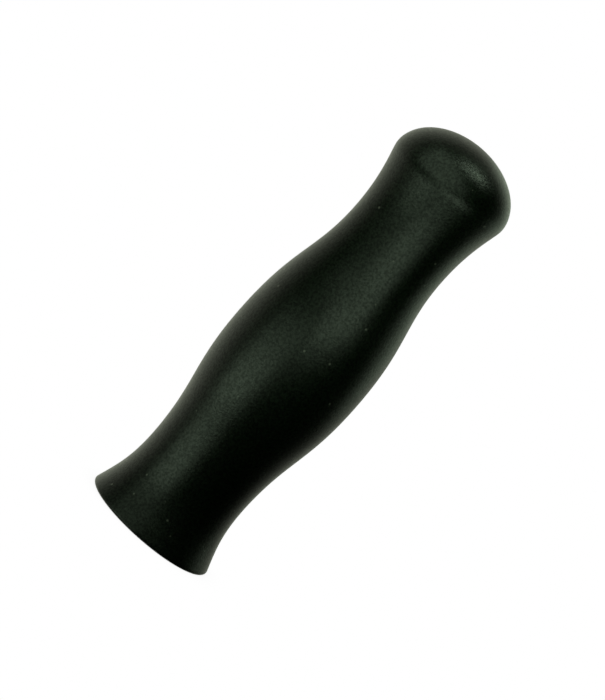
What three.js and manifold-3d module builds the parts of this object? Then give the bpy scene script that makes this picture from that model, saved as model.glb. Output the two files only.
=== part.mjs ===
// Winch handle grip: the free-spinning hand grip of a sailing winch handle, complete with the spindle that
// bolts to the handle's arm. A soft jacket covers a rigid core, and the core turns on two sealed ball bearings.
// Millimetres, +Z up. The origin is the centre of the grip's rim, and +Z runs along the spin axis to the dome.

import * as THREE from "three";
import { mergeVertices } from "three/addons/utils/BufferGeometryUtils.js";
import Module from "manifold-3d";

// ---------------------------------------------------------------- driving dimensions

// The jacket's outside: two narrow necks with a palm swell between them, a flared rim and a dome.
const GRIP_LENGTH = 130;
const RIM = { r: 18.9, edge: 1, slope: 0.41 }; // slope: how fast the flare narrows, in mm per mm
const RIM_NECK = { z: 18.8, r: 15.42 };
const BELLY = { z: 58.3, r: 19.52 };
const DOME_NECK = { z: 98.2, r: 14.72 };
const SHOULDER = { z: 117.7, r: 17.48 };

// The recess in the open end, where the round boss of the handle's arm goes in.
const RECESS = { r: 14.6, depth: 6, chamfer: 0.5 };
const ARM_FACE = 5.5; // height of the spindle's face, which the boss is clamped to

// The core's outside from its mouth to its nose. Three rings carry the jacket's thick belly.
const CORE_FLANGE = { r: 14, top: 9.5 };
const CORE_SEAT = { r: 13.5, top: 16.5 };
const CORE_TUBE_RADIUS = 12.4;
const CORE_RINGS = [
  { z: 44, r: 15 },
  { z: 58, r: 16.4 },
  { z: 72, r: 15.4 },
];
const CORE_RING_WIDTH = 3;
const CORE_NOSE = { start: 117, top: 122, r: 8 };
const CORE_TUNNEL_RADIUS = 10.8;

const SHAFT_RADIUS = 6; // both bearings have a 12 mm bore
const HUB_RADIUS = 7.4;
const SPACER_RADIUS = 7.3;
const BOLT_HOLE = { r: 3.4, depth: 20, tip: 2 }; // tapping size of an M8 thread, with a drill's cone
const KEY_SLOT = { width: 3.5, depth: 1.3 };

// 12 x 24 x 6 mm at the arm end, where the load is higher, and 12 x 21 x 5 mm at the dome end. base is the
// height of the lower face, and a seal's place is measured from the bearing's middle.
const INBOARD = {
  name: "inboard",
  base: 9,
  width: 6,
  outer: 12,
  innerShoulder: 8,
  outerShoulder: 10.1,
  pitch: 9,
  ball: 1.75,
  balls: 10,
  seal: 2.3,
};
const OUTBOARD = {
  name: "outboard",
  base: 104,
  width: 5,
  outer: 10.5,
  innerShoulder: 7.45,
  outerShoulder: 9.05,
  pitch: 8.25,
  ball: 1.19,
  balls: 12,
  seal: 1.75,
};
const INBOARD_TOP = INBOARD.base + INBOARD.width;
const OUTBOARD_TOP = OUTBOARD.base + OUTBOARD.width;

const SNAP_GROOVE = { r: 12.9, bottom: 7.6, top: 8.9 }; // in the core's mouth
const CLIP_GROOVE = { r: 5.5, bottom: OUTBOARD_TOP + 0.8, top: OUTBOARD_TOP + 2 }; // in the shaft
const CLIP_THICK = 1; // both the snap ring and the circlip
const SHIM_THICK = 0.5;
const SHAFT_TOP = CLIP_GROOVE.top + 3;

const LAYER_GAP = 0.25; // between the jacket and the core
const FIT_GAP = 0.1; // between pieces that are pressed or pushed together
const RACE_PLAY = 0.15; // between a ball and the bottom of its race
const ROUND = 32; // sides of a turned piece

// ---------------------------------------------------------------- materials

const finish = (color, roughness, metalness) => new THREE.MeshStandardMaterial({ color, roughness, metalness });
const softBlack = finish(0x1b1e1b, 0.5, 0);
const coreNylon = finish(0x232425, 0.55, 0);
const stainless = finish(0xb9bbb8, 0.3, 1);
const bearingSteel = finish(0xc8cac9, 0.18, 1);
const springSteel = finish(0x4b4d50, 0.35, 1);
const sealRubber = finish(0x1d1815, 0.65, 0);
const cageNylon = finish(0xd9d2bf, 0.5, 0);

// ---------------------------------------------------------------- helpers

const wasm = await Module();
wasm.setup();

const winchHandleGrip = new THREE.Group();

function add(name, geometry, material) {
  const mesh = new THREE.Mesh(geometry, material);
  mesh.name = name;
  winchHandleGrip.add(mesh);
  return mesh;
}

// An outline of [radius, height] points, turned about Z. It starts and ends on the axis, or is closed here.
function turned(outline) {
  const points = outline.map(([r, z]) => new THREE.Vector2(r, z));
  if (THREE.ShapeUtils.area(points) < 0) points.reverse();
  if (points[0].x > 0) points.push(points[0].clone());
  return new THREE.LatheGeometry(points, ROUND).rotateX(Math.PI / 2);
}

const washer = (inner, outer, bottom, top) =>
  turned([
    [inner, bottom],
    [outer, bottom],
    [outer, top],
    [inner, top],
  ]);

const extruded = (shape, bottom, thick, curveSegments) =>
  new THREE.ExtrudeGeometry(shape, { depth: thick, bevelEnabled: false, curveSegments }).translate(0, 0, bottom);

function toSolid(geometry) {
  const bare = new THREE.BufferGeometry().setAttribute("position", geometry.getAttribute("position").clone());
  if (geometry.index) bare.setIndex(geometry.index.clone());
  const merged = mergeVertices(bare);
  const vertProperties = merged.attributes.position.array;
  const triVerts = new Uint32Array(merged.index.array);
  return new wasm.Manifold(new wasm.Mesh({ numProp: 3, vertProperties, triVerts }));
}

function toGeometry(solid) {
  const mesh = solid.getMesh();
  return new THREE.BufferGeometry()
    .setAttribute("position", new THREE.BufferAttribute(mesh.vertProperties.slice(), mesh.numProp))
    .setIndex(new THREE.BufferAttribute(mesh.triVerts.slice(), 1));
}

// An arc about (r, z). Its angles are in degrees: 0 is straight down, 90 outwards and 180 straight up.
function arc(r, z, radius, from, to, steps) {
  return Array.from({ length: steps + 1 }, (_, i) => {
    const turn = THREE.MathUtils.degToRad(from + ((to - from) * i) / steps);
    return [r + radius * Math.sin(turn), z - radius * Math.cos(turn)];
  });
}

// A smooth stretch of the jacket's side that leaves one place with a slope and arrives upright at the next.
// Each reach is how far the curve keeps to its end's direction. The first point is left out.
function sweep(from, slope, reachFrom, to, reachTo, steps) {
  const curve = new THREE.CubicBezierCurve(
    new THREE.Vector2(from.r, from.z),
    new THREE.Vector2(from.r - slope * reachFrom, from.z + reachFrom),
    new THREE.Vector2(to.r, to.z - reachTo),
    new THREE.Vector2(to.r, to.z),
  );
  return curve
    .getPoints(steps)
    .slice(1)
    .map(({ x, y }) => [x, y]);
}

// ---------------------------------------------------------------- jacket and core

// With a gap, the same outline is the cavity inside the jacket.
function coreOutside(gap) {
  const tube = CORE_TUBE_RADIUS + gap;
  const rings = CORE_RINGS.flatMap(({ z, r }) => {
    const half = CORE_RING_WIDTH / 2 + gap;
    return [
      [tube, z - half],
      [r + gap, z - half],
      [r + gap, z + half],
      [tube, z + half],
    ];
  });
  return [
    [CORE_FLANGE.r + gap, RECESS.depth],
    [CORE_FLANGE.r + gap, CORE_FLANGE.top + gap],
    [CORE_SEAT.r + gap, CORE_FLANGE.top + gap],
    [CORE_SEAT.r + gap, CORE_SEAT.top + gap],
    [tube, CORE_SEAT.top + gap],
    ...rings,
    [tube, CORE_NOSE.start],
    [CORE_NOSE.r + gap, CORE_NOSE.top + gap],
    [0, CORE_NOSE.top + gap],
  ];
}

function jacketOutside() {
  const flare = 90 + THREE.MathUtils.radToDeg(Math.atan(RIM.slope));
  const edge = arc(RIM.r - RIM.edge, RIM.edge, RIM.edge, 0, flare, 3);
  const [r, z] = edge.at(-1);
  const domeSteps = 6;
  const dome = Array.from({ length: domeSteps - 1 }, (_, i) => {
    const turn = ((i + 1) / domeSteps) * (Math.PI / 2);
    return [SHOULDER.r * Math.cos(turn), SHOULDER.z + (GRIP_LENGTH - SHOULDER.z) * Math.sin(turn)];
  });
  return [
    ...edge,
    ...sweep({ r, z }, RIM.slope, 4, RIM_NECK, 8, 4),
    ...sweep(RIM_NECK, 0, 17.8, BELLY, 18.7, 7),
    ...sweep(BELLY, 0, 21.4, DOME_NECK, 15.5, 7),
    ...sweep(DOME_NECK, 0, 11.3, SHOULDER, 2.2, 4),
    ...dome,
    [0, GRIP_LENGTH],
  ];
}

// Soft moulded jacket, in one piece with the dome.
add(
  "grip_jacket",
  turned([
    ...coreOutside(LAYER_GAP).reverse(),
    [RECESS.r, RECESS.depth],
    [RECESS.r, RECESS.chamfer],
    [RECESS.r + RECESS.chamfer, 0],
    ...jacketOutside(),
  ]),
  softBlack,
);

// Rigid core: a blind tube that is widest at its mouth, so that everything goes in from the arm end. The
// outboard bearing floats along its seat, and the inboard one is held between a shoulder and a snap ring.
function core() {
  const inboardSeat = INBOARD.outer + FIT_GAP;
  const outboardSeat = OUTBOARD.outer + FIT_GAP;
  const float = 1.5;
  const pocket = { r: 9.8, top: SHAFT_TOP + 2.5 };
  return turned([
    [0, pocket.top],
    [pocket.r, pocket.top],
    [pocket.r, OUTBOARD_TOP + float],
    [outboardSeat, OUTBOARD_TOP + float],
    [outboardSeat, OUTBOARD.base - float],
    [CORE_TUNNEL_RADIUS, OUTBOARD.base - float],
    [CORE_TUNNEL_RADIUS, INBOARD_TOP + FIT_GAP],
    [inboardSeat, INBOARD_TOP + FIT_GAP],
    [inboardSeat, SNAP_GROOVE.top],
    [SNAP_GROOVE.r, SNAP_GROOVE.top],
    [SNAP_GROOVE.r, SNAP_GROOVE.bottom],
    [inboardSeat, SNAP_GROOVE.bottom],
    [inboardSeat, RECESS.depth],
    ...coreOutside(0),
  ]);
}
add("grip_core", core(), coreNylon);

// A flat open ring with its gap towards +X. halfGap is half of the gap's angle.
function openRing(inner, outer, halfGap, bottom) {
  const shape = new THREE.Shape();
  shape.absarc(0, 0, outer, halfGap, 2 * Math.PI - halfGap, false);
  shape.absarc(0, 0, inner, 2 * Math.PI - halfGap, halfGap, true);
  return extruded(shape, bottom, CLIP_THICK, 18);
}

// Snap ring in the core's mouth. It keeps the inboard bearing, and so the whole spindle, in the grip.
add("core_snap_ring", openRing(10.7, SNAP_GROOVE.r - 0.3, 0.2, SNAP_GROOVE.bottom + 0.2), springSteel);

// ---------------------------------------------------------------- spindle and what it carries

// Stainless spindle: a hub, a shaft for both bearings, and a tapped hole for the bolt through the arm. The
// slot across its face takes a key on the arm's boss, so that the spindle can't turn.
function spindle() {
  const chamfer = 0.5;
  const shaft = SHAFT_RADIUS - FIT_GAP;
  const holeTop = ARM_FACE + BOLT_HOLE.depth;
  const body = turned([
    [0, holeTop + BOLT_HOLE.tip],
    [BOLT_HOLE.r, holeTop],
    [BOLT_HOLE.r, ARM_FACE],
    [HUB_RADIUS - chamfer, ARM_FACE],
    [HUB_RADIUS, ARM_FACE + chamfer],
    [HUB_RADIUS, INBOARD.base - FIT_GAP],
    [shaft, INBOARD.base - FIT_GAP],
    [shaft, CLIP_GROOVE.bottom],
    [CLIP_GROOVE.r, CLIP_GROOVE.bottom],
    [CLIP_GROOVE.r, CLIP_GROOVE.top],
    [shaft, CLIP_GROOVE.top],
    [shaft, SHAFT_TOP - 1],
    [shaft - 1, SHAFT_TOP],
    [0, SHAFT_TOP],
  ]);
  const slot = new THREE.BoxGeometry(3 * HUB_RADIUS, KEY_SLOT.width, 2 * KEY_SLOT.depth).translate(0, 0, ARM_FACE);
  return toGeometry(toSolid(body).subtract(toSolid(slot)));
}
add("spindle", spindle(), stainless);

// Keeps the bearings' inner rings apart.
const spacer = washer(SHAFT_RADIUS, SPACER_RADIUS, INBOARD_TOP + FIT_GAP, OUTBOARD.base - FIT_GAP);
add("spacer_tube", spacer, stainless);

const shimBottom = OUTBOARD_TOP + FIT_GAP;
add("spindle_shim", washer(SHAFT_RADIUS, 7.4, shimBottom, shimBottom + SHIM_THICK), bearingSteel);

// Circlip in the shaft's groove: an open ring whose ends are ears, each drilled for the pliers.
function circlip() {
  const bottom = CLIP_GROOVE.bottom + FIT_GAP;
  const inner = CLIP_GROOVE.r + FIT_GAP;
  const ear = { reach: 7.4, angle: 0.44, r: 1.5, hole: 0.6 };
  const disc = (x, y, r, from, depth, sides) =>
    toSolid(extruded(new THREE.Shape().absarc(x, y, r, 0, 2 * Math.PI), from, depth, sides));
  let solid = toSolid(openRing(inner, 7.4, ear.angle, bottom));
  for (const side of [-1, 1]) {
    const x = ear.reach * Math.cos(ear.angle);
    const y = side * ear.reach * Math.sin(ear.angle);
    solid = solid.add(disc(x, y, ear.r, bottom, CLIP_THICK, 10));
    solid = solid.subtract(disc(x, y, ear.hole, bottom - 1, CLIP_THICK + 2, 6));
  }
  return toGeometry(solid.subtract(disc(0, 0, inner, bottom - 1, CLIP_THICK + 2, 18)));
}
add("spindle_circlip", circlip(), springSteel);

// ---------------------------------------------------------------- ball bearings

// A race's curved bottom, from its lower shoulder to its upper one. side is -1 inside the balls, 1 outside.
function race({ base, width, pitch, ball }, side, shoulder) {
  const radius = ball + RACE_PLAY;
  const half = THREE.MathUtils.radToDeg(Math.acos(Math.abs(shoulder - pitch) / radius));
  return arc(pitch, base + width / 2, radius, side * (90 - half), side * (90 + half), 4);
}

// A snap-in cage: a ring with a round pocket for each ball, open at the top.
function cage({ base, width, innerShoulder, outerShoulder, pitch, ball, balls }) {
  const wall = 0.3;
  const pocket = ball + 0.1;
  const middle = base + width / 2;
  const top = middle + 0.6 * ball;
  let solid = toSolid(washer(innerShoulder + wall, outerShoulder - wall, middle - pocket - wall, top));
  for (let i = 0; i < balls; i++) {
    const drill = new THREE.CylinderGeometry(pocket, pocket, outerShoulder - innerShoulder, 12)
      .rotateZ(Math.PI / 2)
      .translate(pitch, 0, middle)
      .rotateZ((2 * Math.PI * i) / balls);
    solid = solid.subtract(toSolid(drill));
  }
  return toGeometry(solid);
}

// A sealed deep-groove bearing, as an inner ring, an outer ring, two seals, a cage and its balls.
function addBearing(bearing) {
  const { name, base, width, outer, innerShoulder, outerShoulder, pitch, ball, balls, seal } = bearing;
  const middle = base + width / 2;
  const top = base + width;
  const sealThick = 0.5;
  const sealSeat = outerShoulder + 0.5;
  const sealStep = width / 2 - seal + FIT_GAP;

  add(
    `${name}_inner_ring`,
    turned([
      [SHAFT_RADIUS, base],
      [innerShoulder, base],
      ...race(bearing, -1, innerShoulder),
      [innerShoulder, top],
      [SHAFT_RADIUS, top],
    ]),
    bearingSteel,
  );
  add(
    `${name}_outer_ring`,
    turned([
      [outer, base],
      [sealSeat, base],
      [sealSeat, base + sealStep],
      [outerShoulder, base + sealStep],
      ...race(bearing, 1, outerShoulder),
      [outerShoulder, top - sealStep],
      [sealSeat, top - sealStep],
      [sealSeat, top],
      [outer, top],
    ]),
    bearingSteel,
  );
  const sealRing = (bottom) => washer(innerShoulder + 0.25, sealSeat - FIT_GAP, bottom, bottom + sealThick);
  add(`${name}_arm_side_seal`, sealRing(middle - seal - sealThick), sealRubber);
  add(`${name}_dome_side_seal`, sealRing(middle + seal), sealRubber);

  add(`${name}_ball_cage`, cage(bearing), cageNylon);
  for (let i = 0; i < balls; i++) {
    const turn = (2 * Math.PI * i) / balls;
    const number = String(i + 1).padStart(2, "0");
    const piece = add(`${name}_ball_${number}`, new THREE.SphereGeometry(ball, 8, 6), bearingSteel);
    piece.position.set(pitch * Math.cos(turn), pitch * Math.sin(turn), middle);
  }
}
addBearing(INBOARD);
addBearing(OUTBOARD);

export default winchHandleGrip;
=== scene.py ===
"""Looks of the winch handle grip: smooth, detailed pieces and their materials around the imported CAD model.

Everything is in the CAD frame: the rim's centre is the origin and +Z runs along the spin axis. Blender
works in metres. Outlines are (radius, height) points in mm, and the pieces' sizes are in mm too.
"""

import math

import bmesh
import bpy
import numpy as np
from mathutils import Matrix, Vector


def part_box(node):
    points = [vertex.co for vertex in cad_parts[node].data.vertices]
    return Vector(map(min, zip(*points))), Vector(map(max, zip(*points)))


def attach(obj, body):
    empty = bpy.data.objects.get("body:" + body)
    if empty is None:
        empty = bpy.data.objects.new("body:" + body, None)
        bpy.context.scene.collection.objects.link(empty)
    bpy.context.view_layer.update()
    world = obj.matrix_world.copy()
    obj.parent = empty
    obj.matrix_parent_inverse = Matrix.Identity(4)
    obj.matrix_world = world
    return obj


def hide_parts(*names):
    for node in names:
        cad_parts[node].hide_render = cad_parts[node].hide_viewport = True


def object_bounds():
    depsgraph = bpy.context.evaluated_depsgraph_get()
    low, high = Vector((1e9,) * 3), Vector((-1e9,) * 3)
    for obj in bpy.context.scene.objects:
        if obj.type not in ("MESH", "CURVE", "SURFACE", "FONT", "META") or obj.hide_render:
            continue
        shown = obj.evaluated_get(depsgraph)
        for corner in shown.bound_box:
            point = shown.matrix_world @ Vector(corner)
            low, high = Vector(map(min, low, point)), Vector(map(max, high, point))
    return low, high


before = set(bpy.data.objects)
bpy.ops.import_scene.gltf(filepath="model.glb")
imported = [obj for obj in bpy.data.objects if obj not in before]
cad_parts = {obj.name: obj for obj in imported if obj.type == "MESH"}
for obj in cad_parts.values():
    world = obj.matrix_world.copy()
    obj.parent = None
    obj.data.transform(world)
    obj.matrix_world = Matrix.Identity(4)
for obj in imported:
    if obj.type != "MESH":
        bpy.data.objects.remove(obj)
cad_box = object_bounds()

MM = 0.001
AXIS_MIDDLE = Vector((0, 0, cad_box[1].z / 2))

# ------------------------------------------------------------------ camera, placed round the grip's middle

CAMERA_DISTANCE = 0.8
CAMERA_ELEVATION = math.radians(8.97)  # towards the dome
AXIS_TILT = math.radians(48.63)  # the grip's axis in the picture, above its right-hand side
CAMERA_LENS = 160.8
CAMERA_CLIP = (0.01, 20)
CAMERA_SLIDE = (-2.91 * MM, -2.57 * MM)  # right and up, which puts the grip off the picture's centre


def camera_axes():
    """The picture's right, its up, and the way back to the camera."""
    back = Vector((0, -math.cos(CAMERA_ELEVATION), math.sin(CAMERA_ELEVATION)))
    along = (Vector((0, 0, 1)) - back * back.z).normalized()
    across = along.cross(back).normalized()
    right = math.cos(AXIS_TILT) * along + math.sin(AXIS_TILT) * across
    return right, back.cross(right), back


RIGHT, UP, BACK = camera_axes()


def from_camera(right, up, back):
    """A point given by its distances from the grip's middle along the picture's axes."""
    return AXIS_MIDDLE + right * RIGHT + up * UP + back * BACK


def turned_to(x, y, z, place):
    """The matrix that turns an object to these three axes and puts it at a place."""
    matrix = Matrix((x, y, z)).transposed().to_4x4()
    matrix.translation = place
    return matrix


def add_camera():
    data = bpy.data.cameras.new("camera")
    data.lens = CAMERA_LENS
    data.clip_start, data.clip_end = CAMERA_CLIP
    camera = bpy.data.objects.new("camera", data)
    bpy.context.scene.collection.objects.link(camera)
    camera.matrix_world = turned_to(RIGHT, UP, BACK, from_camera(*CAMERA_SLIDE, CAMERA_DISTANCE))
    bpy.context.scene.camera = camera


add_camera()

# ------------------------------------------------------------------ node helpers


class Nodes:
    """A node tree with short calls.

    Inputs are given by name, or as i0, i1 and so on, and each is a value or another node's socket.
    """

    def __init__(self, tree):
        self.tree = tree
        tree.nodes.clear()

    def add(self, kind, settings=None, **inputs):
        node = self.tree.nodes.new(kind)
        for key, value in (settings or {}).items():
            setattr(node, key, value)
        for key, value in inputs.items():
            self.set(node, key, value)
        return node

    def set(self, node, key, value):
        name = key.replace("_", " ")
        socket = node.inputs[int(name[1:])] if name[1:].isdigit() else node.inputs[name]
        if isinstance(value, bpy.types.NodeSocket):
            self.tree.links.new(value, socket)
        else:
            socket.default_value = value

    def math(self, operation, a, b):
        return self.add("ShaderNodeMath", {"operation": operation}, i0=a, i1=b).outputs[0]

    def vector(self, operation, output, **inputs):
        return self.add("ShaderNodeVectorMath", {"operation": operation}, **inputs).outputs[output]

    def ramp(self, value, low, high, out_low=0.0, out_high=1.0):
        """value from low to high becomes out_low to out_high, smoothly."""
        node = self.add(
            "ShaderNodeMapRange",
            {"interpolation_type": "SMOOTHSTEP"},
            Value=value,
            From_Min=low,
            From_Max=high,
            To_Min=out_low,
            To_Max=out_high,
        )
        return node.outputs["Result"]

    def noise(self, vector, scale, detail=2.0, roughness=0.5):
        node = self.add("ShaderNodeTexNoise", Vector=vector, Scale=scale, Detail=detail, Roughness=roughness)
        return node.outputs["Fac"]

    def mix(self, factor, a, b):
        node = self.add("ShaderNodeMix", {"data_type": "RGBA"}, i0=factor, i6=a, i7=b)
        return node.outputs[2]

    def bump(self, height, distance, strength=1.0):
        node = self.add("ShaderNodeBump", Strength=strength, Distance=distance, Height=height)
        return node.outputs["Normal"]

    def place(self):
        """Where the shaded point is on its own piece, in metres."""
        return self.add("ShaderNodeTexCoord").outputs["Object"]

    def surface(self, shader):
        output = self.add("ShaderNodeOutputMaterial")
        self.set(output, "Surface", shader)

    def principled(self, **inputs):
        self.surface(self.add("ShaderNodeBsdfPrincipled", **inputs).outputs[0])


def new_material(name):
    """A material, and its empty node tree."""
    material = bpy.data.materials.new(name)
    material.use_nodes = True
    return material, Nodes(material.node_tree)


# ------------------------------------------------------------------ light, floor and backdrop

# Soft panels that face the grip: place along the picture's axes and size in mm, roll in degrees, brightness.
# These values, and the room's below, came from a least-squares fit to the photo's shading, then rounded.
PANELS = (
    ("panel_left", (-140, -5, 95), (135, 55), 30, 1.9),
    ("panel_fill", (-55, 15, 65), (90, 45), 30, 0.65),
    ("panel_front", (25, -5, 85), (75, 40), 15, 1.6),
    ("panel_top", (20, 60, 60), (75, 80), -5, 0.9),
    ("panel_dome", (290, 245, 60), (60, 180), -30, 6.0),
    ("panel_behind", (170, -25, -145), (150, 310), 20, 0.5),
)
PANEL_COLOUR = (0.77, 1.0, 0.73)
PANEL_WATTS = math.pi  # per square metre, for a brightness of 1

# The bright, faintly tinted room behind the grip, which lights its outline, and a white glow from below.
ROOM_COLOUR = (0.93, 1.0, 0.8, 1)
ROOM_AXIS = (-0.3, 0.15, -1)  # along the picture's axes, towards the brightest place
ROOM_EDGES = (0.05, 1.75)  # cosines from the axis: dark, and full. The second is past 1, so it isn't reached
ROOM_BRIGHTNESS = 1.4
GLOW_FROM_BELOW = 0.7  # it lights the open end
GLOW_EDGES = (0.88, 1.0)

WHITE = (1, 1, 1, 1)
FLOOR_RADIUS = 1.5
BACKDROP_RADIUS = 4.0
CONTACT_REACH = 8 * MM  # how near a thing has to be to cast the floor's painted contact shadow
CONTACT_EDGES = (0.3, 0.95)  # how open the floor's surroundings are, from the darkest painted shadow to clear
PAINTED_SHADOW_TONE = 0.93  # the floor's tone where the painted contact shadow is darkest


def add_panel(name, place, size, roll, brightness):
    """A soft light that faces the grip's middle and isn't seen by the camera."""
    data = bpy.data.lights.new(name, "AREA")
    data.shape = "RECTANGLE"
    data.size, data.size_y = (side * MM for side in size)
    data.color = PANEL_COLOUR
    data.energy = PANEL_WATTS * brightness * data.size * data.size_y
    panel = bpy.data.objects.new(name, data)
    bpy.context.scene.collection.objects.link(panel)
    at = from_camera(*(distance * MM for distance in place))
    out = (at - AXIS_MIDDLE).normalized()
    side = out.cross(UP).normalized()
    rise = side.cross(out)
    turn = math.radians(roll)
    x = math.cos(turn) * side + math.sin(turn) * rise
    panel.matrix_world = turned_to(x, out.cross(x), out, at)
    panel.visible_camera = False


def add_world():
    """The light from all round: the room and the glow, added up."""
    world = bpy.data.worlds.new("studio")
    bpy.context.scene.world = world
    world.use_nodes = True
    n = Nodes(world.node_tree)
    right, up, back = ROOM_AXIS
    axis = (right * RIGHT + up * UP + back * BACK).normalized()
    direction = n.add("ShaderNodeTexCoord").outputs["Generated"]
    facing = n.vector("DOT_PRODUCT", "Value", i0=direction, i1=axis)
    room = n.ramp(facing, *ROOM_EDGES, 0.0, ROOM_BRIGHTNESS)
    below = n.vector("DOT_PRODUCT", "Value", i0=direction, i1=(0, 0, -1))
    glow = n.ramp(below, *GLOW_EDGES, 0.0, GLOW_FROM_BELOW)
    tinted = n.add("ShaderNodeBackground", Color=ROOM_COLOUR, Strength=room).outputs[0]
    white = n.add("ShaderNodeBackground", Color=WHITE, Strength=glow).outputs[0]
    output = n.add("ShaderNodeOutputWorld")
    n.set(output, "Surface", n.add("ShaderNodeAddShader", i0=tinted, i1=white).outputs[0])


def add_stage_object(name, bm, material):
    """A part of the stage that only the camera sees."""
    mesh = bpy.data.meshes.new(name)
    bm.to_mesh(mesh)
    bm.free()
    mesh.materials.append(material)
    stage = bpy.data.objects.new(name, mesh)
    bpy.context.scene.collection.objects.link(stage)
    for ray in ("glossy", "diffuse", "transmission", "shadow"):
        setattr(stage, f"visible_{ray}", False)


def floor_material():
    """White, with a painted contact shadow a trace darker where something stands on it, and clear from
    below.
    """
    material, n = new_material("floor_white")
    # painted contact shadow: ambient occlusion dims the floor's white glow near what stands on it
    near = n.add("ShaderNodeAmbientOcclusion", {"samples": 8}, Distance=CONTACT_REACH).outputs["AO"]
    painted_shadow = n.ramp(near, *CONTACT_EDGES, PAINTED_SHADOW_TONE, 1.0)
    light = n.add("ShaderNodeEmission", Color=WHITE, Strength=painted_shadow).outputs[0]
    clear = n.add("ShaderNodeBsdfTransparent").outputs[0]
    below = n.add("ShaderNodeNewGeometry").outputs["Backfacing"]
    n.surface(n.add("ShaderNodeMixShader", i0=below, i1=light, i2=clear).outputs[0])
    return material


def backdrop_material():
    material, n = new_material("backdrop_white")
    n.surface(n.add("ShaderNodeEmission", Color=WHITE, Strength=1.0).outputs[0])
    return material


def add_stage():
    floor = bmesh.new()
    bmesh.ops.create_circle(floor, cap_ends=True, radius=FLOOR_RADIUS, segments=96)
    add_stage_object("floor", floor, floor_material())
    backdrop = bmesh.new()
    bmesh.ops.create_icosphere(backdrop, subdivisions=4, radius=BACKDROP_RADIUS)
    add_stage_object("backdrop", backdrop, backdrop_material())


add_world()
for panel in PANELS:
    add_panel(*panel)
add_stage()
bpy.context.scene.view_settings.view_transform = "Standard"
bpy.context.scene.view_settings.look = "None"

# ------------------------------------------------------------------ materials

JACKET_BLACK = (0.0007, 0.0048, 0.0004, 1)
PIT_BLACK = (0.0002, 0.0018, 0.0001, 1)
HANDLED_GREY = (0.008, 0.009, 0.008, 1)
DUST_GREY = (0.14, 0.14, 0.12, 1)

# Scales are per metre. Edges are the values between which a noise goes from nothing to its full effect.
GRAIN_SCALE = 2300
GRAIN_DEPTH = 0.06 * MM
CLOUD_SCALE = 70
PIT_SCALE = 1500
PIT_EDGES = (0.36, 0.66)
PIT_DULLNESS = 0.45
DUST_SCALE = 210.0
DUST_EDGES = (0.04, 0.09)  # distances from a speck's middle, in cells of the Voronoi texture
DUST_COVER = 0.7
HANDLED_HEIGHTS = (0.4 * MM, 2.4 * MM)
HANDLED_SCALE = 500
HANDLED_COVER = 0.5
MIDDLE_EDGES = (0.3, 0.7)  # most of a noise's values lie between these
JACKET_ROUGHNESS = (0.345, 0.375)  # from where the clouds are thin to where they are thick
ROUGHNESS_GRAIN = 0.04  # added or taken away from spot to spot


def soft_black():
    """Soft-touch elastomer: moulded grain, small dull pits, faint clouds, specks of dust, a handled rim."""
    material, n = new_material("jacket_soft_black")
    place = n.place()
    height = n.add("ShaderNodeSeparateXYZ", Vector=place).outputs["Z"]
    cloud = n.noise(place, CLOUD_SCALE, detail=3)
    grain = n.noise(place, GRAIN_SCALE, detail=2, roughness=0.6)
    specks = n.add("ShaderNodeTexVoronoi", Vector=place, Scale=DUST_SCALE).outputs["Distance"]
    dust = n.ramp(specks, *DUST_EDGES, 1.0, 0.0)
    low_down = n.ramp(height, *HANDLED_HEIGHTS, 1.0, 0.0)
    rim = n.math("MULTIPLY", low_down, n.noise(place, HANDLED_SCALE, detail=3))
    pits = n.ramp(n.noise(place, PIT_SCALE, detail=2, roughness=0.7), *PIT_EDGES)
    black = n.mix(pits, JACKET_BLACK, PIT_BLACK)
    handled = n.mix(n.math("MULTIPLY", rim, HANDLED_COVER), black, HANDLED_GREY)
    colour = n.mix(n.math("MULTIPLY", dust, DUST_COVER), handled, DUST_GREY)
    fine = n.noise(place, GRAIN_SCALE, detail=1)
    sheen = n.ramp(fine, *MIDDLE_EDGES, -ROUGHNESS_GRAIN, ROUGHNESS_GRAIN)
    gloss = n.math("ADD", n.ramp(cloud, *MIDDLE_EDGES, *JACKET_ROUGHNESS), sheen)
    bumps = n.bump(grain, GRAIN_DEPTH)
    dull = n.math("MULTIPLY", pits, PIT_DULLNESS)
    n.principled(Base_Color=colour, Metallic=dull, Roughness=gloss, Normal=bumps)
    return material


def moulded_nylon(name, dark, light, roughness, streak):
    """Glass-filled nylon: short fibres show as a mottle, which a streak below 1 draws out along the part."""
    material, n = new_material(name)
    place = n.place()
    stretched = n.vector("MULTIPLY", "Vector", i0=place, i1=(1, 1, streak))
    fibres = n.noise(stretched, scale=2600, detail=3, roughness=0.65)
    cloud = n.noise(place, scale=160, detail=2)
    mottle = n.math("ADD", n.math("MULTIPLY", fibres, 0.6), n.math("MULTIPLY", cloud, 0.4))
    colour = n.mix(n.ramp(mottle, 0.35, 0.65), dark, light)
    gloss = n.ramp(fibres, *MIDDLE_EDGES, roughness - 0.06, roughness + 0.06)
    bumps = n.bump(fibres, distance=0.01 * MM, strength=0.6)
    n.principled(Base_Color=colour, Roughness=gloss, Normal=bumps)
    return material


FACE_MARKS = 1.31  # rings are this much closer on a flat face than along a shaft


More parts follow.
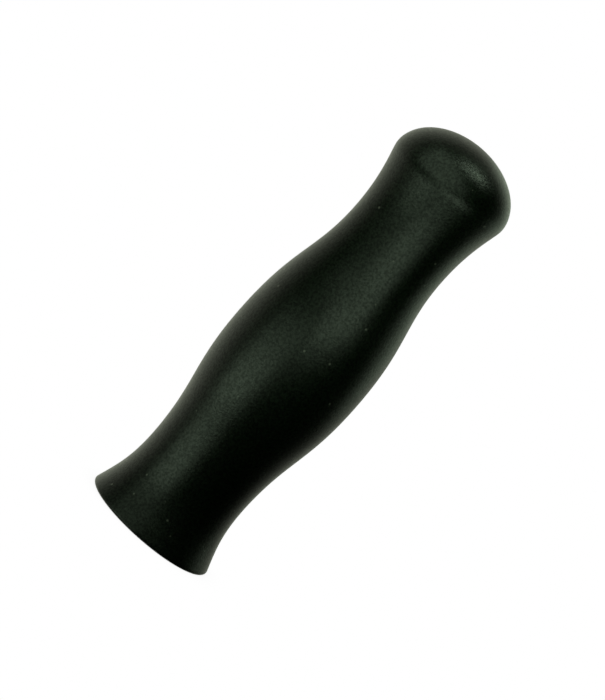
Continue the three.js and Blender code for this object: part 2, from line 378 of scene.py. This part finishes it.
def turned_metal(name, dark, light, roughness, marks, depth):
    """Steel with the fine rings that a lathe or a grinder leaves. marks is their noise scale."""
    material, n = new_material(name)
    place = n.place()
    height = n.add("ShaderNodeSeparateXYZ", Vector=place).outputs["Z"]
    radius = n.vector("LENGTH", "Value", i0=n.vector("MULTIPLY", "Vector", i0=place, i1=(1, 1, 0)))
    travel = n.math("ADD", height, n.math("MULTIPLY", radius, FACE_MARKS))
    rings = n.add("ShaderNodeTexNoise", {"noise_dimensions": "1D"}, W=travel, Scale=marks, Detail=3.0)
    stain = n.noise(place, scale=240, detail=4, roughness=0.6)
    colour = n.mix(n.ramp(stain, 0.35, 0.7), light, dark)
    smear = n.math("MULTIPLY", n.math("ADD", rings.outputs["Fac"], stain), 0.5)
    gloss = n.ramp(smear, *MIDDLE_EDGES, roughness - 0.05, roughness + 0.07)
    bumps = n.bump(rings.outputs["Fac"], depth, strength=0.5)
    n.principled(Base_Color=colour, Metallic=1.0, Roughness=gloss, Normal=bumps)
    return material


BALL_COLOURS = ((0.62, 0.62, 0.63, 1), (0.7, 0.7, 0.71, 1))
SPRING_COLOURS = ((0.055, 0.056, 0.06, 1), (0.16, 0.155, 0.15, 1))  # phosphated, worn
SEAL_COLOURS = ((0.012, 0.0095, 0.0085, 1), (0.022, 0.018, 0.016, 1))  # clean, bloomed


def polished_ball():
    """Bearing steel polished to a mirror, with a faint haze."""
    material, n = new_material("ball_polished")
    place = n.place()
    haze = n.noise(place, scale=900, detail=4, roughness=0.6)
    colour = n.mix(haze, *BALL_COLOURS)
    gloss = n.ramp(haze, 0.35, 0.75, 0.07, 0.16)
    n.principled(Base_Color=colour, Metallic=1.0, Roughness=gloss)
    return material


def phosphated_spring():
    """Stamped spring steel, darkened: grainy, with brighter metal where the grain is worn."""
    material, n = new_material("spring_phosphated")
    place = n.place()
    grain = n.noise(place, scale=3200, detail=4, roughness=0.7)
    wear = n.noise(place, scale=420, detail=3, roughness=0.6)
    colour = n.mix(n.ramp(wear, 0.5, 0.75), *SPRING_COLOURS)
    gloss = n.ramp(grain, *MIDDLE_EDGES, 0.36, 0.52)
    bumps = n.bump(grain, distance=0.008 * MM, strength=0.6)
    n.principled(Base_Color=colour, Metallic=0.85, Roughness=gloss, Normal=bumps)
    return material


def nitrile():
    """Moulded seal rubber, with a dull bloom in patches."""
    material, n = new_material("seal_nitrile")
    place = n.place()
    bloom = n.noise(place, scale=380, detail=4, roughness=0.6)
    grain = n.noise(place, scale=4200, detail=2, roughness=0.6)
    colour = n.mix(n.ramp(bloom, 0.4, 0.75), *SEAL_COLOURS)
    gloss = n.ramp(bloom, 0.35, 0.7, 0.48, 0.6)
    bumps = n.bump(grain, distance=0.01 * MM, strength=0.4)
    n.principled(Base_Color=colour, Roughness=gloss, Normal=bumps)
    return material


JACKET = soft_black()
CORE_NYLON = moulded_nylon(
    "core_nylon",
    dark=(0.012, 0.012, 0.013, 1),
    light=(0.024, 0.024, 0.025, 1),
    roughness=0.52,
    streak=0.25,
)
CAGE_NYLON = moulded_nylon(
    "cage_nylon",
    dark=(0.6, 0.54, 0.4, 1),
    light=(0.7, 0.645, 0.51, 1),
    roughness=0.45,
    streak=1.0,
)
STAINLESS = turned_metal(
    "stainless",
    dark=(0.46, 0.46, 0.45, 1),
    light=(0.56, 0.555, 0.54, 1),
    roughness=0.26,
    marks=5200,
    depth=0.006 * MM,
)
BEARING = turned_metal(
    "bearing_steel",
    dark=(0.56, 0.56, 0.57, 1),
    light=(0.64, 0.64, 0.65, 1),
    roughness=0.15,
    marks=9000,
    depth=0.002 * MM,
)
BALL = polished_ball()
SPRING = phosphated_spring()
SEAL = nitrile()

# ------------------------------------------------------------------ reading the CAD

ON_PLANE = 1e-6  # in metres


def section(node, across="y"):
    """A turned CAD node's outline, in order, cut where the named axis is 0.

    It starts and ends on the spin axis, or it is a closed loop off it.
    """
    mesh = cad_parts[node].data
    off, out = (1, 0) if across == "y" else (0, 1)
    spot = {}
    for v in mesh.vertices:
        if abs(v.co[off]) < ON_PLANE and v.co[out] > -ON_PLANE:
            spot[v.index] = (round(v.co[out] / MM, 3), round(v.co.z / MM, 3))
    links = {}
    for edge in mesh.edges:
        a, b = (spot.get(i) for i in edge.vertices)
        if a and b and a != b:
            links.setdefault(a, set()).add(b)
            links.setdefault(b, set()).add(a)
    ends = [p for p in links if len(links[p]) == 1] or links
    path = [min(ends, key=lambda p: (p[1], p[0]))]
    while True:
        onward = [p for p in sorted(links[path[-1]]) if p not in path]
        if not onward:
            return path
        path.append(onward[0])


def middle_of(node):
    low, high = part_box(node)
    return (low + high) / 2


# ------------------------------------------------------------------ outlines


def arc(r, z, radius, start, end, steps):
    """An arc about (r, z). In degrees, 0 is straight down, 90 outwards and 180 straight up."""
    turns = [math.radians(start + (end - start) * i / steps) for i in range(steps + 1)]
    return [(r + radius * math.sin(t), z - radius * math.cos(t)) for t in turns]


CORNER_TURN = math.radians(20)  # an outline that turns by less isn't rounded
CORNER_SHARE = 0.3  # of the shorter side, the most that a rounding takes up
CORNER_GUARD = 1.6  # an extra point this many times as far out keeps the flat's shading flat


def eased(points, size, closed=True):
    """Rounds an outline's corners. An open outline keeps its ends."""
    made = []
    for i, point in enumerate(points):
        corner = Vector(point)
        before = Vector(points[i - 1]) - corner
        after = Vector(points[(i + 1) % len(points)]) - corner
        at_end = not closed and i in (0, len(points) - 1)
        if at_end or before.angle(-after) < CORNER_TURN:
            made.append(point)
            continue
        reach = min(size, CORNER_SHARE * before.length, CORNER_SHARE * after.length)
        a = before.normalized() * reach
        b = after.normalized() * reach
        made.append(corner + CORNER_GUARD * a)
        made += [corner + (1 - t) ** 2 * a + t**2 * b for t in (0, 0.3, 0.7, 1)]
        made.append(corner + CORNER_GUARD * b)
    return [tuple(p) for p in made]


def through(points, steps):
    """A smooth cubic spline through the points, with this many steps from each point to the next."""
    spots = np.array(points, float)
    spans = np.linalg.norm(np.diff(spots, axis=0), axis=1)
    slopes = np.diff(spots, axis=0) / spans[:, None]
    system = np.eye(len(spots))
    pull = np.zeros_like(spots)
    for i in range(1, len(spots) - 1):
        system[i, i - 1 : i + 2] = spans[i - 1], 2 * (spans[i - 1] + spans[i]), spans[i]
        pull[i] = 6 * (slopes[i] - slopes[i - 1])
    bends = np.linalg.solve(system, pull)
    made = []
    for i, span in enumerate(spans):
        for step in range(steps):
            b = step / steps
            a = 1 - b
            bulge = ((a**3 - a) * bends[i] + (b**3 - b) * bends[i + 1]) * span**2 / 6
            made.append(tuple(a * spots[i] + b * spots[i + 1] + bulge))
    return made + [tuple(spots[-1])]


# ------------------------------------------------------------------ meshes

ON_AXIS = 1e-9  # a smaller radius is the axis itself
TURNED_SIDES = 96


def lathe(outline, sides=TURNED_SIDES, swell=None):
    """A solid turned about Z. swell, if given, makes a radius from radius, height and turn."""
    bm = bmesh.new()
    turns = [2 * math.pi * i / sides for i in range(sides)]
    rings = []
    for r, z in outline:
        if r < ON_AXIS:
            rings.append([bm.verts.new((0, 0, z * MM))])
            continue
        radii = [(swell(r, z, t) if swell else r) * MM for t in turns]
        spots = [(s * math.cos(t), s * math.sin(t), z * MM) for s, t in zip(radii, turns)]
        rings.append([bm.verts.new(spot) for spot in spots])
    pairs = list(zip(rings, rings[1:]))
    if len(rings[0]) > 1:
        pairs.append((rings[-1], rings[0]))
    for a, b in pairs:
        for i in range(sides):
            j = (i + 1) % sides
            around = [a[i % len(a)], a[j % len(a)], b[j % len(b)], b[i % len(b)]]
            corners = list(dict.fromkeys(around))
            if len(corners) > 2:
                bm.faces.new(corners)
    bmesh.ops.recalc_face_normals(bm, faces=bm.faces)
    return bm


def bent_bar(outline, start, end, steps, round_ends):
    """A bar with this closed outline, bent about Z from one angle to another, with rounded ends."""
    bm = bmesh.new()
    rings = []
    for i in range(steps + 1):
        t = start + (end - start) * i / steps
        spots = [(r * MM * math.cos(t), r * MM * math.sin(t), z * MM) for r, z in outline]
        rings.append([bm.verts.new(spot) for spot in spots])
    for a, b in zip(rings, rings[1:]):
        for i in range(len(outline)):
            j = (i + 1) % len(outline)
            bm.faces.new((a[i], a[j], b[j], b[i]))
    caps = [bm.faces.new(rings[0]), bm.faces.new(rings[-1])]
    bmesh.ops.recalc_face_normals(bm, faces=bm.faces)
    edges = [edge for cap in caps for edge in cap.edges]
    bmesh.ops.bevel(bm, geom=edges, offset=round_ends * MM, segments=3, profile=0.5, affect="EDGES")
    return bm


def prism(profile, low, high):
    """An (x, y) profile pushed out along Z from low to high."""
    bm = bmesh.new()
    ends = [[bm.verts.new((x * MM, y * MM, z * MM)) for x, y in profile] for z in (low, high)]
    for i in range(len(profile)):
        j = (i + 1) % len(profile)
        bm.faces.new((ends[0][i], ends[0][j], ends[1][j], ends[1][i]))
    bm.faces.new(ends[0])
    bm.faces.new(ends[1])
    bmesh.ops.recalc_face_normals(bm, faces=bm.faces)
    return bm


def placed(bm, matrix):
    """The same mesh, moved."""
    bmesh.ops.transform(bm, matrix=matrix, verts=bm.verts)
    return bm


def joined(parts):
    """Several meshes as one. The parts are used up."""
    whole = bmesh.new()
    for part in parts:
        mesh = bpy.data.meshes.new("part")
        part.to_mesh(mesh)
        part.free()
        whole.from_mesh(mesh)
        bpy.data.meshes.remove(mesh)
    return whole


def cut(solid, cutter):
    """The solid with the cutter's shape taken out of it. Both are used up."""
    objects = []
    for bm in (solid, cutter):
        mesh = bpy.data.meshes.new("operand")
        bm.to_mesh(mesh)
        bm.free()
        objects.append(bpy.data.objects.new("operand", mesh))
        bpy.context.scene.collection.objects.link(objects[-1])
    modifier = objects[0].modifiers.new("boolean", "BOOLEAN")
    modifier.operation = "DIFFERENCE"
    modifier.solver = "EXACT"
    modifier.object = objects[1]
    graph = bpy.context.evaluated_depsgraph_get()
    made = bmesh.new()
    made.from_mesh(objects[0].evaluated_get(graph).data)
    for obj in objects:
        bpy.data.meshes.remove(obj.data)
    return made


SOFTENED_TURN = math.radians(40)  # edges that turn by more are bevelled
CUT_WELD = 0.002 * MM  # closes the slivers that a boolean leaves
SHARP_TURN = math.radians(35)  # edges that turn by more are shaded sharp
WELD = 1e-7  # in metres


def softened(bm, size):
    """Bevels the sharp edges of a mesh that was cut."""
    bmesh.ops.remove_doubles(bm, verts=bm.verts, dist=CUT_WELD)
    edges = [e for e in bm.edges if e.is_manifold and e.calc_face_angle() > SOFTENED_TURN]
    size = size * MM
    bmesh.ops.bevel(bm, geom=edges, offset=size, segments=2, profile=0.5, affect="EDGES", clamp_overlap=True)
    return bm


def add_piece(name, bm, material, body, node):
    """A visible piece that takes the place of a CAD node, on its body and with the given material."""
    bmesh.ops.remove_doubles(bm, verts=bm.verts, dist=WELD)
    bmesh.ops.recalc_face_normals(bm, faces=bm.faces)
    mesh = bpy.data.meshes.new(name)
    bm.to_mesh(mesh)
    bm.free()
    mesh.shade_smooth()
    mesh.set_sharp_from_angle(angle=SHARP_TURN)
    mesh.materials.append(material)
    piece = bpy.data.objects.new(name, mesh)
    bpy.context.scene.collection.objects.link(piece)
    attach(piece, body)
    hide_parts(node)


# ------------------------------------------------------------------ jacket and core

RIM_RADIUS = 18.9
RIM_EDGE = 0.65  # rounding of the rim's outer edge
RIM_LEAN = 112  # where the rim's rounding ends, in arc()'s degrees
RIM_STEPS = 8
SIDE_START = 2.0  # above this height the CAD's outline is followed
SKIN = 0.01  # how far the side's points lie inside the CAD's outline
SIDE_STEPS = 6
JACKET_SIDES = 144
RECESS_EDGE = 0.35
CORE_EDGE = 0.3


def jacket_side(start, outside):
    """From the rim over the CAD's outside points to the top of the dome. The curve is level at the top."""
    rise = [start] + [(r - SKIN, z) for r, z in outside[:-1] if z > SIDE_START]
    fall = [(-r, z) for r, z in reversed(rise)]
    curve = through(rise + [outside[-1]] + fall, SIDE_STEPS)
    return curve[: len(rise) * SIDE_STEPS] + [outside[-1]]


def jacket():
    """The cavity and the recess, from the axis down, then the rim, then the side up to the dome's top."""
    whole = section("grip_jacket")
    rim_at = 1 + [z for r, z in whole].index(0.0)
    rim = arc(RIM_RADIUS - RIM_EDGE, RIM_EDGE, RIM_EDGE, 0, RIM_LEAN, RIM_STEPS)
    inside = eased(whole[:rim_at] + rim[:1], RECESS_EDGE, closed=False)
    return lathe(inside + rim[1:-1] + jacket_side(rim[-1], whole[rim_at:]), JACKET_SIDES)


def core():
    return lathe(eased(section("grip_core"), CORE_EDGE, closed=False))


add_piece("jacket_body", jacket(), JACKET, "grip", "grip_jacket")
add_piece("core_tube", core(), CORE_NYLON, "grip", "grip_core")

# ------------------------------------------------------------------ spindle

THREAD_PITCH = 1.25
THREAD_CREST = 3.4  # radius of the tapping drill's hole
THREAD_DEPTH = 0.6
THREAD_END = 22.0  # above this height only the tapping drill went
THREAD_ROWS = 10  # rows of points in each pitch
THREAD_FLANK = 1.4  # how steeply the groove's sides run
THREAD_LAND = 0.25  # more of it makes the crests wider
SINK_RADIUS = 4.3  # of the countersunk mouth
HUB_EDGE = 0.12

SLOT_HALF_WIDTH = 1.75
SLOT_DEPTH = 1.3
SLOT_EDGE = 0.15
SLOT_HALF_LENGTH = 8  # longer than the hub's radius
SLOT_PROUD = 0.1  # how far the cutter stands out of the face


def key_slot(face):
    """Cutter for the slot across the face, with broken edges."""
    mouth = SLOT_HALF_WIDTH + SLOT_EDGE
    half = [(mouth, face - SLOT_PROUD), (mouth, face)]
    half += [(SLOT_HALF_WIDTH, face + SLOT_EDGE), (SLOT_HALF_WIDTH, face + SLOT_DEPTH)]
    along_x = Matrix(((0, 0, 1), (1, 0, 0), (0, 1, 0))).to_4x4()
    bar = prism(half + [(-y, z) for y, z in reversed(half)], -SLOT_HALF_LENGTH, SLOT_HALF_LENGTH)
    return placed(bar, along_x)


def spindle():
    """The turned spindle with a thread in its hole, a countersunk mouth and the key slot."""
    tip, bottom, mouth, *outside = section("spindle", across="x")
    face = mouth[1]

    def hole(r, z, turn):
        if r != THREAD_CREST:
            return r
        phase = (z / THREAD_PITCH - turn / (2 * math.pi)) % 1
        wave = min(max(THREAD_FLANK * abs(2 * phase - 1) - THREAD_LAND, 0), 1)
        fade = min(max((THREAD_END - z) / THREAD_PITCH, 0), 1)
        return max(r + THREAD_DEPTH * wave * fade, SINK_RADIUS - (z - face))

    rows = int((bottom[1] - face) / THREAD_PITCH * THREAD_ROWS)
    drop = (bottom[1] - face) / rows
    threaded = [(THREAD_CREST, bottom[1] - drop * i) for i in range(rows + 1)]
    outline = [tip] + threaded + eased([(SINK_RADIUS, face)] + outside, HUB_EDGE, closed=False)[1:]
    return cut(lathe(outline, swell=hole), key_slot(face))


SPACER_EDGE = 0.25
SHIM_EDGE = 0.08

add_piece("spindle_shaft", spindle(), STAINLESS, "spindle_assembly", "spindle")
spacer = lathe(eased(section("spacer_tube"), SPACER_EDGE))
add_piece("spacer", spacer, STAINLESS, "spindle_assembly", "spacer_tube")
shim = lathe(eased(section("spindle_shim"), SHIM_EDGE))
add_piece("shim", shim, BEARING, "spindle_assembly", "spindle_shim")

# ------------------------------------------------------------------ snap ring and circlip

# Radii, heights, and half of the gap as an angle in radians.
SNAP_RING = {"inner": 10.7, "outer": 12.6, "low": 7.8, "high": 8.8, "gap": 0.2}
CIRCLIP = {"inner": 5.6, "outer": 7.4, "low": 109.9, "high": 110.9, "gap": 0.44}
SNAP_RING_EDGE = 0.15
CIRCLIP_EDGE = 0.08
ARC_STEPS = 60  # in a half turn
EAR_RADIUS = 1.5
EAR_HOLE = 0.6
EAR_DRILL = (-1, 2)  # heights of the drill's ends from the circlip's lower face
EAR_SIDES = 32


def snap_ring():
    """A bar of rectangular section, bent to an open ring."""
    low, high = SNAP_RING["low"], SNAP_RING["high"]
    inner, outer, gap = SNAP_RING["inner"], SNAP_RING["outer"], SNAP_RING["gap"]
    outline = eased([(inner, low), (outer, low), (outer, high), (inner, high)], SNAP_RING_EDGE)
    return bent_bar(outline, gap, 2 * math.pi - gap, 2 * ARC_STEPS, SNAP_RING_EDGE)


def swept(centre, radius, start, end, steps):
    """Points round a centre in the XY plane, from one angle to another."""
    turns = [start + (end - start) * i / steps for i in range(steps + 1)]
    return [(centre[0] + radius * math.cos(t), centre[1] + radius * math.sin(t)) for t in turns]


def circlip():
    """A plate cut to an open ring with two ears, which are then drilled."""
    inner, outer, gap = CIRCLIP["inner"], CIRCLIP["outer"], CIRCLIP["gap"]
    ear = (outer * math.cos(gap), outer * math.sin(gap))
    bite = 2 * math.asin(EAR_RADIUS / 2 / outer)  # from the ear's middle to where its edge meets the ring's
    half = swept((0, 0), inner, math.pi, gap, ARC_STEPS)
    half += swept(ear, EAR_RADIUS, gap - math.pi, gap + math.pi / 2 + bite / 2, ARC_STEPS // 2)
    half += swept((0, 0), outer, gap + bite, math.pi, ARC_STEPS)[1:]
    solid = prism(half + [(x, -y) for x, y in reversed(half[1:-1])], CIRCLIP["low"], CIRCLIP["high"])
    below, above = EAR_DRILL
    for side in (-1, 1):
        drill = lathe([(0, below), (EAR_HOLE, below), (EAR_HOLE, above), (0, above)], EAR_SIDES)
        place = Matrix.Translation((ear[0] * MM, side * ear[1] * MM, CIRCLIP["low"] * MM))
        solid = cut(solid, placed(drill, place))
    return softened(solid, CIRCLIP_EDGE)


add_piece("snap_ring", snap_ring(), SPRING, "grip", "core_snap_ring")
add_piece("circlip", circlip(), SPRING, "spindle_assembly", "spindle_circlip")

# ------------------------------------------------------------------ ball bearings

RACE_PLAY = 0.15  # between a ball and the bottom of its race
RACE_MATCH = 0.02  # how exactly a point has to lie on the race to belong to it
RACE_STEPS = 14
RING_EDGE = 0.25

SEAL_WIDTH = 2.25  # of the seal that the profile is drawn for

CAGE_EDGE = 0.12
CAGE_SIDES = 160
POCKET_PLAY = 0.1
POCKET_OVERRUN = 0.3  # how far the drill goes past the cage on both sides
POCKET_SIDES = 40

BALL_STEPS = 20
BALL_SIDES = 36


def with_race(points, centre, reach):
    """Smooths the race, whose points all lie at about this reach from the balls' centre."""
    found = [i for i, p in enumerate(points) if abs((Vector(p) - centre).length - reach) < RACE_MATCH]
    first, last = (Vector(points[i]) - centre for i in (found[0], found[-1]))
    start = math.atan2(first.y, first.x)
    sweep = math.remainder(math.atan2(last.y, last.x) - start, 2 * math.pi)
    turns = [start + sweep * i / RACE_STEPS for i in range(RACE_STEPS + 1)]
    curve = [(centre.x + reach * math.cos(t), centre.y + reach * math.sin(t)) for t in turns]
    return points[: found[0]] + curve + points[found[-1] + 1 :]


def seal(node, face_up):
    """A flat ring with a thin lip inside and two shallow grooves in its outer face.

    The profile's points are distances from the inner edge, and shares of the thickness from the outer face.
    """
    low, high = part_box(node)
    inner = min(r for r, z in section(node))
    outer = max(r for r, z in section(node))
    across = (
        (0, 0.36), (0.35, 0.14), (0.6, 0.14), (0.75, 0), (1.35, 0), (1.5, 0.2), (1.7, 0.2), (1.85, 0),
        (outer - inner, 0.05), (outer - inner, 1), (0.3, 1), (0, 0.64),
    )
    squeeze = min(1, (outer - inner) / SEAL_WIDTH)
    points = []
    for reach, share in across:
        r = inner + (reach if reach == outer - inner else reach * squeeze)
        z = (1 - share if face_up else share) * (high.z - low.z) + low.z
        points.append((r, z / MM))
    return lathe(points)


def cage(node, balls, ball_radius):
    """A snap-in cage: a ring with a drilled pocket for each ball."""
    low, high = (corner.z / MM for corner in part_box(node))
    wall = section(node)
    inner, outer = wall[0][0], wall[-1][0]
    profile = eased([(inner, low), (outer, low), (outer, high), (inner, high)], CAGE_EDGE)
    pocket = ball_radius + POCKET_PLAY
    start, end = inner - POCKET_OVERRUN, outer + POCKET_OVERRUN
    drill = [(0, start), (pocket, start), (pocket, end), (0, end)]
    drills = []
    for spot in balls:
        outward = Vector((spot.x, spot.y, 0)).to_track_quat("Z", "Y").to_matrix().to_4x4()
        drills.append(placed(lathe(drill, POCKET_SIDES), Matrix.Translation((0, 0, spot.z)) @ outward))
    return cut(lathe(profile, CAGE_SIDES), joined(drills))


def ball_mesh(spot, radius):
    outline = [(0, -radius)] + arc(0, 0, radius, 0, 180, BALL_STEPS)[1:-1] + [(0, radius)]
    return placed(lathe(outline, BALL_SIDES), Matrix.Translation(spot))


def bearing(side, count):
    """One ball bearing: two rings, two seals, the cage and the balls."""
    names = [f"{side}_ball_{i + 1:02d}" for i in range(count)]
    spots = [middle_of(name) for name in names]
    low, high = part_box(names[0])
    radius = (high.z - low.z) / 2 / MM
    pitch = Vector((spots[0].x, spots[0].y)).length / MM
    centre = Vector((pitch, spots[0].z / MM))
    for part, body in (("inner_ring", "spindle_assembly"), ("outer_ring", "grip")):
        node = f"{side}_{part}"
        outline = eased(with_race(section(node), centre, radius + RACE_PLAY), RING_EDGE)
        piece = f"{side}_ring_{part.split('_')[0]}"
        add_piece(piece, lathe(outline), BEARING, body, node)
    for part, face_up in (("arm_side_seal", False), ("dome_side_seal", True)):
        node = f"{side}_{part}"
        piece = f"{side}_seal_{part.split('_')[0]}"
        add_piece(piece, seal(node, face_up), SEAL, "grip", node)
    node = f"{side}_ball_cage"
    add_piece(f"{side}_cage_ring", cage(node, spots, radius), CAGE_NYLON, f"{side}_cage", node)
    for name, spot in zip(names, spots):
        piece = name.replace("ball", "steel_ball")
        add_piece(piece, ball_mesh(spot, radius), BALL, f"{side}_cage", name)


bearing("inboard", 10)
bearing("outboard", 12)
